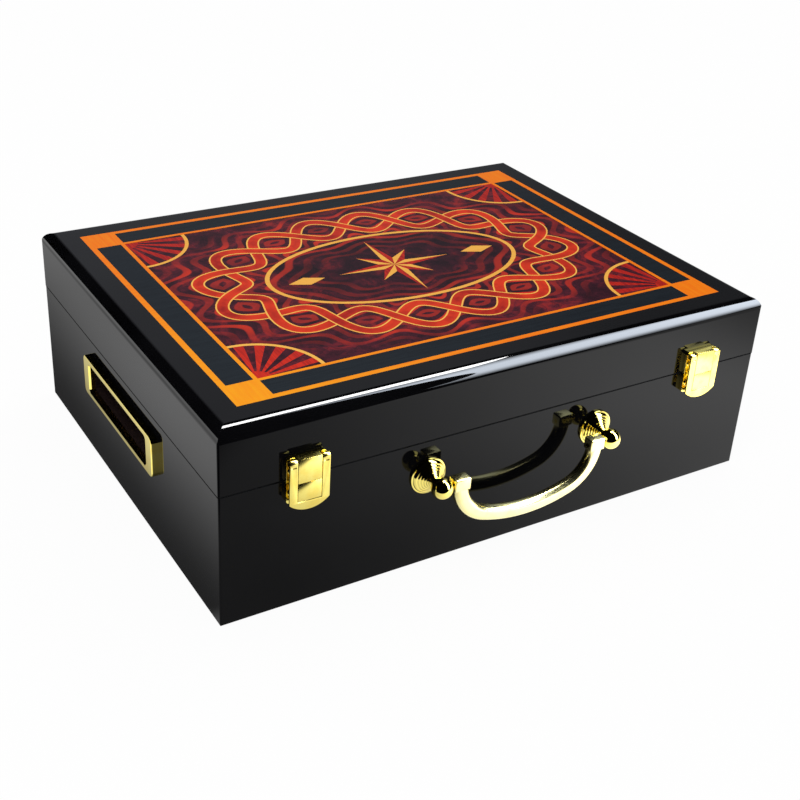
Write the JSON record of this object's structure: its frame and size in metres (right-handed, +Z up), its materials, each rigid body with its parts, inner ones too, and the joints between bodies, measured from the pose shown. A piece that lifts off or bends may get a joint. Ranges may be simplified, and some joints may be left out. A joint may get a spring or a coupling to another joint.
{
  "type": "poker chip storage box",
  "caption": "Gloss black case with hinged lid, brass latches, drop handle and side pulls; chip racks, lift-out trays and card wells inside.",
  "frame": {"origin": "centre of the underside, on the surface the box stands on", "axes": "+Z up; the front with the latches and the carry handle faces -Y; +X is to the right seen from the front"},
  "size_m": [0.408, 0.3394, 0.1304],
  "materials": {
    "black_lacquer": "mirror-gloss black lacquer over board",
    "panel_board": "bare board",
    "black_felt": "black felt",
    "burgundy_velvet": "velvet",
    "black_rack": "flocked black",
    "rack_board": "satin black stain",
    "polished_brass": "mirror polished",
    "dark_cup": "gloss black",
    "brass_fixings": "polished",
    "steel_fixings": "zinc plated",
    "orange_veneer": "lacquered veneer",
    "blue_black_veneer": "lacquered veneer",
    "maroon_burl": "lacquered burl veneer",
    "dark_burl": "lacquered burl veneer",
    "gold_veneer": "lacquered veneer",
    "red_veneer": "lacquered veneer"
  },
  "bodies": {
    "base": {"base_back_wall": "black_lacquer", "base_bottom_panel": "panel_board", "base_felt_sheet": "black_felt", "base_front_wall": "black_lacquer", "base_left_wall": "black_lacquer", "base_lining": "burgundy_velvet", "base_right_wall": "black_lacquer", "centre_divider": "rack_board", "chip_rack_left": "black_rack", "chip_rack_right": "black_rack", "gallery_partitions": "rack_board", "gallery_wall": "rack_board", "handle_pivot_pins": "brass_fixings", "handle_post_left": "polished_brass", "handle_post_right": "polished_brass", "handle_screws": "steel_fixings", "handle_washers": "steel_fixings", "hinge_base_screws": "brass_fixings", "hinge_left_base_leaf": "polished_brass", "hinge_pins": "brass_fixings", "hinge_right_base_leaf": "polished_brass", "latch_base_screws": "brass_fixings", "latch_left_base_plate": "polished_brass", "latch_right_base_plate": "polished_brass", "rack_end_boards": "rack_board", "side_pull_left_bezel": "polished_brass", "side_pull_left_cup": "dark_cup", "side_pull_right_bezel": "polished_brass", "side_pull_right_cup": "dark_cup"},
    "lid": {"hinge_left_lid_leaf": "polished_brass", "hinge_lid_screws": "brass_fixings", "hinge_right_lid_leaf": "polished_brass", "inlay_border_bands": "blue_black_veneer", "inlay_braid_over": "red_veneer", "inlay_braid_under": "red_veneer", "inlay_burl_ground": "maroon_burl", "inlay_corner_blocks": "orange_veneer", "inlay_fan_bands": "gold_veneer", "inlay_fan_rays": "red_veneer", "inlay_lozenges": "gold_veneer", "inlay_medallion_disc": "dark_burl", "inlay_medallion_ring": "gold_veneer", "inlay_star_dark": "red_veneer", "inlay_star_light": "gold_veneer", "inlay_strings": "orange_veneer", "latch_left_lid_plate": "polished_brass", "latch_lid_screws": "brass_fixings", "latch_pins": "brass_fixings", "latch_right_lid_plate": "polished_brass", "lid_back_rail": "black_lacquer", "lid_front_rail": "black_lacquer", "lid_left_rail": "black_lacquer", "lid_lining_board": "burgundy_velvet", "lid_right_rail": "black_lacquer", "lid_top_panel": "panel_board"},
    "latch_flap_left": {"latch_left_flap": "polished_brass"},
    "latch_flap_right": {"latch_right_flap": "polished_brass"},
    "carry_bail": {"carry_bail": "polished_brass"},
    "tray_left": {"chip_tray_left": "black_rack"},
    "tray_right": {"chip_tray_right": "black_rack"}
  },
  "joints": [
    {"name": "lid_hinge", "type": "hinge", "parent": "base", "child": "lid", "pos_m": [0, 0.15655, 0.0888], "axis": [-1, 0, 0], "range_deg": [0, 95]},
    {"name": "latch_left_turn", "type": "hinge", "parent": "lid", "child": "latch_flap_left", "pos_m": [-0.1475, -0.15745, 0.1024], "axis": [-1, 0, 0], "range_deg": [0, 150]},
    {"name": "latch_right_turn", "type": "hinge", "parent": "lid", "child": "latch_flap_right", "pos_m": [0.1475, -0.15745, 0.1024], "axis": [-1, 0, 0], "range_deg": [0, 150]},
    {"name": "bail_swing", "type": "hinge", "parent": "base", "child": "carry_bail", "pos_m": [0, -0.16895, 0.065], "axis": [-1, 0, 0], "range_deg": [-20, 200]},
    {"name": "tray_left_lift", "type": "slide", "parent": "base", "child": "tray_left", "axis": [0, 0, 1], "range_m": [0, 0.028]},
    {"name": "tray_right_lift", "type": "slide", "parent": "base", "child": "tray_right", "axis": [0, 0, 1], "range_m": [0, 0.028]}
  ]
}
